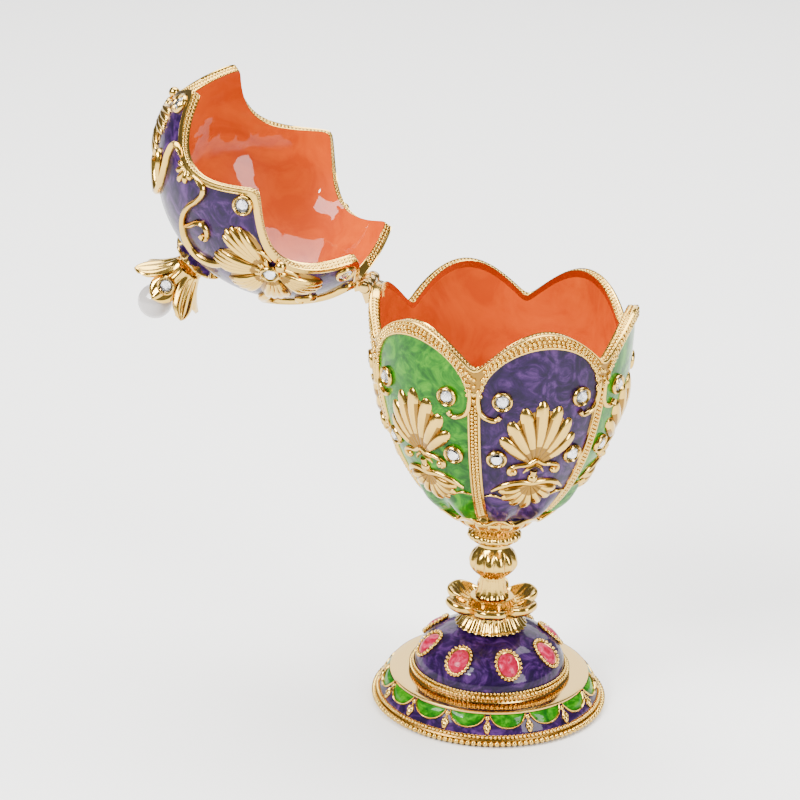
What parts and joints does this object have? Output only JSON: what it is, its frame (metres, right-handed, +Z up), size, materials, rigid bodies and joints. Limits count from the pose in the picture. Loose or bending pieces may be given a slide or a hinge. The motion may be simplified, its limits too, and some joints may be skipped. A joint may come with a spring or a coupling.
{
  "type": "jewelled egg trinket box",
  "caption": "Enamelled egg trinket box on a domed foot, gilt scalloped rims, shell ornament, rhinestones and a pearl finial; hinged lid shown open.",
  "frame": {"origin": "centre of the underside of the round foot", "axes": "+Z up the egg's axis; the hinge is on the -X side with its axis along Y; the lid is open at rest"},
  "size_m": [0.1138, 0.06, 0.14],
  "materials": {
    "gold": "polished gold plating on a cast alloy",
    "foot_enamel": "glossy purple enamel with gilt borders",
    "cup_enamel": "glossy green and purple enamel, orange inside",
    "lid_enamel": "glossy purple and green enamel, orange inside",
    "rhinestone": "clear faceted foil-backed glass",
    "pearl": "pearlescent imitation pearl"
  },
  "bodies": {
    "base": {"foot": "foot_enamel", "flower_collar": "gold", "stem": "gold", "egg_cup": "cup_enamel", "hinge_pin": "gold", "cup_stone_1": "rhinestone", "cup_stone_2": "rhinestone", "cup_stone_3": "rhinestone", "cup_stone_4": "rhinestone", "cup_stone_5": "rhinestone", "cup_stone_6": "rhinestone", "cup_stone_7": "rhinestone", "cup_stone_8": "rhinestone", "cup_stone_9": "rhinestone", "cup_stone_10": "rhinestone", "cup_stone_11": "rhinestone", "cup_stone_12": "rhinestone", "cup_stone_13": "rhinestone", "cup_stone_14": "rhinestone", "cup_stone_15": "rhinestone", "cup_stone_16": "rhinestone", "cup_stone_17": "rhinestone", "cup_stone_18": "rhinestone", "cup_stone_19": "rhinestone", "cup_stone_20": "rhinestone", "cup_stone_21": "rhinestone", "cup_stone_22": "rhinestone", "cup_stone_23": "rhinestone", "cup_stone_24": "rhinestone"},
    "lid": {"lid": "lid_enamel", "finial": "gold", "pearl": "pearl", "lid_cusp_stone_1": "rhinestone", "lid_cusp_stone_2": "rhinestone", "lid_cusp_stone_3": "rhinestone", "lid_cusp_stone_4": "rhinestone", "lid_cusp_stone_5": "rhinestone", "lid_cusp_stone_6": "rhinestone", "lid_flower_stone_1": "rhinestone", "lid_flower_stone_2": "rhinestone", "lid_flower_stone_3": "rhinestone", "finial_stone": "rhinestone"}
  },
  "joints": [
    {"name": "lid_hinge", "type": "hinge", "parent": "base", "child": "lid", "pos_m": [-0.03045, 0, 0.0967], "axis": [0, 1, 0], "range_deg": [0, 137.2]}
  ]
}
